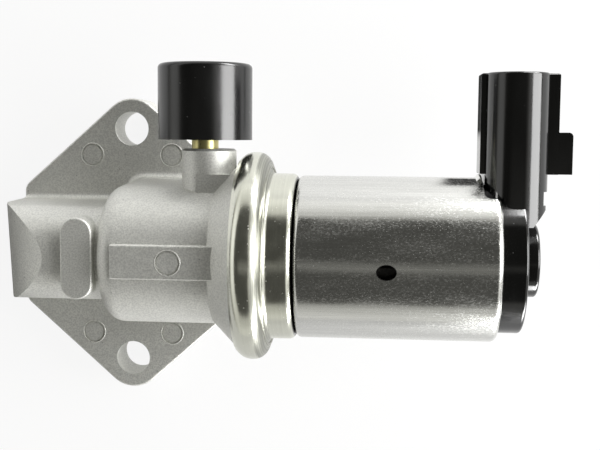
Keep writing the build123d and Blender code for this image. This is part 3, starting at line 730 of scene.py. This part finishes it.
class BYPASS_OT_terminals(bpy.types.Operator):
    """Finish the two terminals in the plug socket."""

    bl_idname = "bypass.terminals"
    bl_label = "Terminals"

    def execute(self, context):
        settings = context.scene.bypass_inner
        tinned = drawn_metal("tinned_brass", settings.tin, roughness=0.3, stretch=(1, 0.05, 1))
        finish(tinned, "terminal_front", "terminal_rear")
        return {"FINISHED"}


class BYPASS_OT_stem(bpy.types.Operator):
    """Finish the moving stem: armature, rod, poppet and clip."""

    bl_idname = "bypass.stem"
    bl_label = "Valve Stem"

    def execute(self, context):
        inner = context.scene.bypass_inner
        moulding = context.scene.bypass_moulding
        steel = turned_metal("stem_steel", inner.steel, roughness=0.28)
        plastic = moulded_plastic("poppet_plastic", moulding.poppet, roughness=0.38, specular=0.5)
        clip = drawn_metal(
            "clip_steel", shade(inner.steel, 0.55), roughness=0.32, stretch=(1, 1, 0.05))
        finish(steel, "armature", "valve_rod")
        finish(plastic, "poppet")
        finish(clip, "poppet_clip")
        return {"FINISHED"}


class BYPASS_OT_solenoid(bpy.types.Operator):
    """Finish what lies inside the can and the casting."""

    bl_idname = "bypass.solenoid"
    bl_label = "Solenoid"

    def execute(self, context):
        inner = context.scene.bypass_inner
        moulding = context.scene.bypass_moulding
        steel = turned_metal("core_steel", inner.steel, roughness=0.34)
        brass = turned_metal("turned_brass", inner.brass, roughness=0.26)
        plate = turned_metal("plate_aluminium", inner.aluminium, roughness=0.32)
        former = moulded_plastic("coil_plastic", moulding.bobbin, roughness=0.42, specular=0.5)
        tape = soft_matter("wrap_tape", inner.tape, width=0.5, depth=0.04 * MM, roughness=0.35)
        rubber = soft_matter(
            "seal_rubber", inner.rubber, width=0.3, depth=0.02 * MM, roughness=0.5)
        finish(steel, "front_pole", "rear_core", "adjuster_screw")
        finish(brass, "guide_tube", "front_bush")
        finish(plate, "guide_plate")
        finish(former, "bobbin")
        finish(wound_copper(), "coil_winding")
        finish(tape, "coil_wrap")
        finish(rubber, "body_seal")
        return {"FINISHED"}


class BYPASS_OT_spring(bpy.types.Operator):
    """Wind the return spring between the armature and the core, and hide the CAD spring."""

    bl_idname = "bypass.spring"
    bl_label = "Return Spring"

    def execute(self, context):
        settings = context.scene.bypass_spring
        start, end = on_axis(settings.start), on_axis(settings.end)
        steps = STEPS_PER_TURN * settings.turns
        bm = bmesh.new()
        bmesh.ops.create_circle(bm, segments=WIRE_SIDES, radius=settings.wire_radius)
        bmesh.ops.rotate(bm, verts=bm.verts, matrix=Matrix.Rotation(pi / 2, 3, "X"))
        bmesh.ops.translate(bm, verts=bm.verts, vec=start + Vector((0, 0, settings.radius)))
        bmesh.ops.spin(
            bm, geom=bm.verts[:] + bm.edges[:], cent=start, axis=(1, 0, 0),
            angle=2 * pi * settings.turns, steps=steps, dvec=(end - start) / steps)
        bmesh.ops.holes_fill(bm, edges=[edge for edge in bm.edges if edge.is_boundary])
        bmesh.ops.recalc_face_normals(bm, faces=bm.faces)
        steel = drawn_metal(
            "spring_steel", shade(context.scene.bypass_inner.steel, 0.8),
            roughness=0.25, stretch=(1, 0.2, 0.2))
        spring = add_piece("wound_spring", bm, steel)
        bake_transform(spring)
        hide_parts("return_spring")
        return {"FINISHED"}


def patch_mask(material, x, y, middle, half, edge):
    """Mask of a soft edged rectangle on the floor, in metres."""
    sides = [
        mask(material, distance(material, place, centre), reach + edge, reach - edge)
        for place, centre, reach in zip((x, y), middle, half)]
    return product(material, *sides)


def floor_paint():
    """White floor that the camera, metal and glass see bright, and that takes the shadow."""
    material = bpy.data.materials.new("floor_white")
    material.use_nodes = True
    material.node_tree.nodes.clear()
    path = add_node(material, "LightPath").outputs
    x, y, _ = axes_of(material, add_node(material, "TexCoord").outputs["Object"])

    # Painted shadows: for mirrored light the floor is painted dark in the shadow areas,
    # and painted dimmer in front of the valve.
    glossy = path["Is Glossy Ray"]
    areas = [patch_mask(material, x, y, *area) for area in FLOOR_SHADOWS]
    shadow = largest(material, *areas)
    clear = spread(material, shadow, 0, 1, 1, 0)
    pale = product(material, spread(material, y, -0.035, -0.005, 0.46, 0.72), clear)
    front = spread(material, y, -0.045, -0.010, 0.6, 0.0)
    mirrored_shade = product(material, largest(material, shadow, front), glossy)
    ground = tint(material, mirrored_shade, FLOOR_WHITE, FLOOR_PAINTED_SHADE)

    seen = largest(material, path["Is Camera Ray"], path["Is Transmission Ray"])
    share = largest(
        material, product(material, seen, FLOOR_GLOW), product(material, pale, glossy))
    diffuse = add_node(material, "BsdfDiffuse", {"Color": ground}).outputs[0]
    glow = add_node(material, "Emission", {"Color": (1, 1, 1, 1), "Strength": 1.0}).outputs[0]
    white = add_node(material, "MixShader", {0: share, 1: diffuse, 2: glow}).outputs[0]

    # From below, the floor can be looked through.
    under = add_node(material, "NewGeometry").outputs["Backfacing"]
    glass = add_node(material, "BsdfTransparent").outputs[0]
    surface = add_node(material, "MixShader", {0: under, 1: white, 2: glass}).outputs[0]
    add_node(material, "OutputMaterial", {"Surface": surface})
    return material


def studio_world():
    """Pale walls round a dark ceiling, as a small light tent gives."""
    world = bpy.data.worlds.new("studio")
    world.use_nodes = True
    coords = add_node(world, "TexCoord").outputs["Generated"]
    x, y, z = axes_of(world, coords)

    # The walls reach up to the ceiling, a little higher on the nose's side.
    nose_side = mask(world, x, -0.35, -0.85)
    rise = combine(world, "SUBTRACT", z, product(world, nose_side, 0.12))
    wall = mask(world, rise, 0.50, 0.40)

    # They are brightest low down, and dimmer in front and at the plug's end. On the nose's
    # side it is the other way round: dark at the foot and bright above.
    low = spread(world, z, 0.10, 0.30, 0.95, 0.66)
    foot = product(world, nose_side, spread(world, z, 0.05, 0.26, 0.88, -0.50))
    front = spread(world, y, -0.7, 0.2, 0.66, 1.0)
    plug_end = spread(world, x, 0.55, 0.80, 1.0, 0.65)
    walls = product(
        world, wall, low, combine(world, "SUBTRACT", 1.0, foot), front, plug_end)

    # A glow stands over the plug's end, and a faint beam crosses the ceiling.
    glow = product(
        world, mask(world, x, 0.35, 0.60), mask(world, z, 0.92, 0.80),
        spread(world, z, 0.25, 0.50, 0.48, 0.80))
    beam = product(
        world, spread(world, distance(world, y, -0.13), 0.03, 0.12, 0.20, 0.0),
        mask(world, z, 0.85, 0.95))
    ceiling = 0.065
    bright = total(world, largest(world, walls, glow), beam, ceiling)

    seen = add_node(world, "LightPath").outputs["Is Camera Ray"]
    bright = largest(world, bright, seen)
    warm = tint(world, bright, (1.0, 0.99, 0.90), (1.0, 1.0, 0.975))
    background = world.node_tree.nodes["Background"]
    world.node_tree.links.new(warm, background.inputs["Color"])
    world.node_tree.links.new(bright, background.inputs["Strength"])
    return world


def add_camera(settings):
    """The camera at the photograph's place."""
    camera = bpy.data.objects.new("camera", bpy.data.cameras.new("camera"))
    bpy.context.scene.collection.objects.link(camera)
    camera.location = settings.camera_place
    camera.rotation_euler = settings.camera_turn
    camera.data.lens = settings.lens
    camera.data.sensor_width = SENSOR_WIDTH
    camera.data.clip_start = 10 * MM
    return camera


def add_lamp(name, aim, reach, size, power):
    """A soft light that stands at a reach from the point it is aimed at."""
    lamp = bpy.data.objects.new(name, bpy.data.lights.new(name, "AREA"))
    bpy.context.scene.collection.objects.link(lamp)
    lamp.data.shape = "RECTANGLE"
    lamp.data.size, lamp.data.size_y = size
    lamp.data.energy = power
    lamp.location = aim + reach
    lamp.rotation_euler = reach.to_track_quat("Z", "Y").to_euler()
    lamp.visible_camera = False


class BYPASS_OT_studio(bpy.types.Operator):
    """Set the floor, the light and the camera."""

    bl_idname = "bypass.studio"
    bl_label = "Studio"

    def execute(self, context):
        scene = context.scene
        settings = scene.bypass_studio
        scene.view_settings.view_transform = "Standard"
        scene.camera = add_camera(settings)

        bm = bmesh.new()
        bmesh.ops.create_grid(bm, x_segments=1, y_segments=1, size=FLOOR_HALF)
        bmesh.ops.translate(bm, verts=bm.verts, vec=(0, 0, -FLOOR_DROP))
        floor = add_piece("floor", bm, floor_paint())
        scene.world = studio_world()

        middle = Vector((0.03, 0, 0.02))
        add_lamp("window", aim=middle, reach=Vector((0.68, 0.077, 0.30)),
                 size=(0.5, 0.46), power=settings.window_power)
        plug_end = on_axis(0.074)
        for name, reach in (("bounce_front", (0.07, -0.13, 0.004)),
                            ("bounce_back", (0.07, 0.15, 0.015))):
            add_lamp(name, aim=plug_end, reach=Vector(reach),
                     size=(0.10, 0.05), power=settings.bounce_power)
        return {"FINISHED"}


STEPS = (
    BYPASS_OT_casting,
    BYPASS_OT_pin_rings,
    BYPASS_OT_sheet_steel,
    BYPASS_OT_mouldings,
    BYPASS_OT_vent,
    BYPASS_OT_terminals,
    BYPASS_OT_stem,
    BYPASS_OT_solenoid,
    BYPASS_OT_spring,
    BYPASS_OT_studio,
)
GROUPS = {
    "bypass_casting": CastingSettings,
    "bypass_steel": SteelSettings,
    "bypass_moulding": MouldingSettings,
    "bypass_inner": InnerSettings,
    "bypass_rings": RingSettings,
    "bypass_hole": HoleShadeSettings,
    "bypass_notch": NotchSettings,
    "bypass_spring": SpringSettings,
    "bypass_studio": StudioSettings,
}


class BYPASS_PT_sidebar(bpy.types.Panel):
    """Lists the steps and settings of the valve's looks."""

    bl_idname = "BYPASS_PT_sidebar"
    bl_label = "Bypass Valve"
    bl_space_type = "VIEW_3D"
    bl_region_type = "UI"
    bl_category = "Bypass Valve"

    def draw(self, context):
        for step in STEPS:
            self.layout.operator(step.bl_idname)
        for name, group in GROUPS.items():
            box = self.layout.box()
            for setting in group.__annotations__:
                box.prop(getattr(context.scene, name), setting)


def register():
    for name, group in GROUPS.items():
        bpy.utils.register_class(group)
        setattr(bpy.types.Scene, name, bpy.props.PointerProperty(type=group))
    for step in STEPS:
        bpy.utils.register_class(step)
    bpy.utils.register_class(BYPASS_PT_sidebar)


def unregister():
    bpy.utils.unregister_class(BYPASS_PT_sidebar)
    for step in reversed(STEPS):
        bpy.utils.unregister_class(step)
    for name, group in GROUPS.items():
        delattr(bpy.types.Scene, name)
        bpy.utils.unregister_class(group)


def main():
    register()
    bpy.ops.bypass.casting()
    bpy.ops.bypass.pin_rings()
    bpy.ops.bypass.sheet_steel()
    bpy.ops.bypass.mouldings()
    bpy.ops.bypass.vent()
    bpy.ops.bypass.terminals()
    bpy.ops.bypass.stem()
    bpy.ops.bypass.solenoid()
    bpy.ops.bypass.spring()
    bpy.ops.bypass.studio()


if __name__ == "__main__":
    main()
